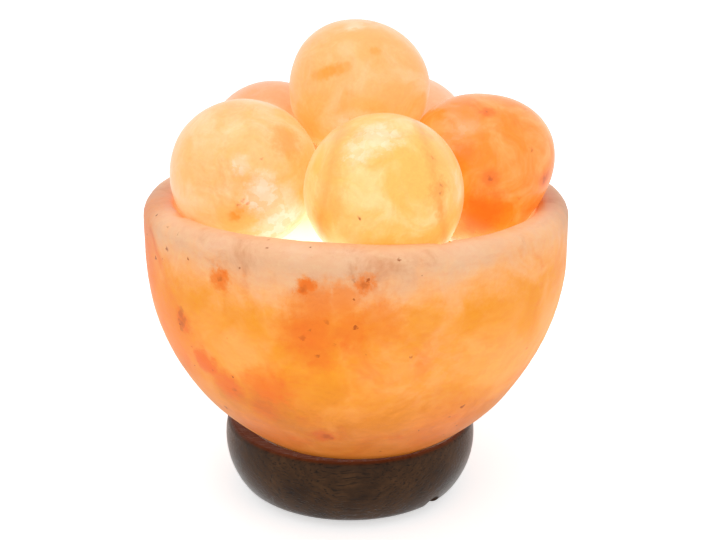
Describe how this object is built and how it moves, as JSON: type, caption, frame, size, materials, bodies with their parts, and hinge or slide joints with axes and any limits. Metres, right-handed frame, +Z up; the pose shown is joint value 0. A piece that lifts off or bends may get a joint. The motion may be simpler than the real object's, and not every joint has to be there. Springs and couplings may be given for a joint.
{
  "type": "salt crystal lamp",
  "caption": "Carved salt bowl lamp, lit from inside and heaped with salt balls, on a round dark wooden base with rubber feet.",
  "frame": {"origin": "on the bowl's axis, in the plane that the rubber feet stand on", "axes": "+Z up along the bowl's axis, +X to the right and -Y towards the viewer of the picture"},
  "size_m": [0.152, 0.152, 0.1761],
  "materials": {
    "bowl_salt": "satin",
    "ball_salt": "satin",
    "dark_wood": "satin",
    "foot_rubber": "matte",
    "screw_steel": "satin",
    "plate_zinc": "satin",
    "spring_steel": "satin",
    "holder_plastic": "satin",
    "contact_ceramic": "matte",
    "contact_brass": "satin",
    "cap_nickel": "satin",
    "black_glass": "gloss",
    "tip_solder": "satin",
    "lamp_glass": "gloss",
    "lead_nickel": "satin",
    "filament_tungsten": "satin"
  },
  "bodies": {
    "base_and_bowl": {"salt_bowl": "bowl_salt", "wood_base": "dark_wood", "base_screws": "screw_steel", "rubber_foot_1": "foot_rubber", "rubber_foot_2": "foot_rubber", "rubber_foot_3": "foot_rubber", "rubber_foot_4": "foot_rubber"},
    "light_unit": {"holder_plate": "plate_zinc", "spring_clip": "spring_steel", "holder_body": "holder_plastic", "holder_cap": "holder_plastic", "contact_block": "contact_ceramic", "screw_shell": "contact_brass", "centre_contact": "contact_brass", "terminals": "contact_brass", "terminal_screws": "screw_steel"},
    "bulb": {"bulb_cap": "cap_nickel", "cap_insulator": "black_glass", "tip_contact": "tip_solder", "bulb_glass": "lamp_glass", "glass_stem": "lamp_glass", "lead_wires": "lead_nickel", "filament": "filament_tungsten"},
    "front_ball": {"ball_front": "ball_salt"},
    "right_ball": {"ball_right": "ball_salt"},
    "back_right_ball": {"ball_back_right": "ball_salt"},
    "back_left_ball": {"ball_back_left": "ball_salt"},
    "left_ball": {"ball_left": "ball_salt"},
    "top_ball": {"ball_top": "ball_salt"}
  },
  "joints": [
    {"name": "light_unit_slide", "type": "slide", "parent": "base_and_bowl", "child": "light_unit", "axis": [0, 0, -1], "range_m": [0, 0.095]},
    {"name": "bulb_turn", "type": "hinge", "parent": "light_unit", "child": "bulb", "pos_m": [0, 0, 0.05], "axis": [0, 0, 1], "range_deg": [0, 1080]},
    {"name": "front_ball_lift", "type": "slide", "parent": "base_and_bowl", "child": "front_ball", "axis": [0.1132, -0.5327, 0.8387], "range_m": [0, 0.09]},
    {"name": "right_ball_lift", "type": "slide", "parent": "base_and_bowl", "child": "right_ball", "axis": [0.5356, -0.0431, 0.8434], "range_m": [0, 0.09]},
    {"name": "back_right_ball_lift", "type": "slide", "parent": "base_and_bowl", "child": "back_right_ball", "axis": [0.206, 0.4802, 0.8526], "range_m": [0, 0.09]},
    {"name": "back_left_ball_lift", "type": "slide", "parent": "base_and_bowl", "child": "back_left_ball", "axis": [-0.3577, 0.3384, 0.8704], "range_m": [0, 0.09]},
    {"name": "left_ball_lift", "type": "slide", "parent": "base_and_bowl", "child": "left_ball", "axis": [-0.4797, -0.2579, 0.8387], "range_m": [0, 0.09]},
    {"name": "top_ball_lift", "type": "slide", "parent": "base_and_bowl", "child": "top_ball", "axis": [0, 0, 1], "range_m": [0, 0.07]}
  ]
}
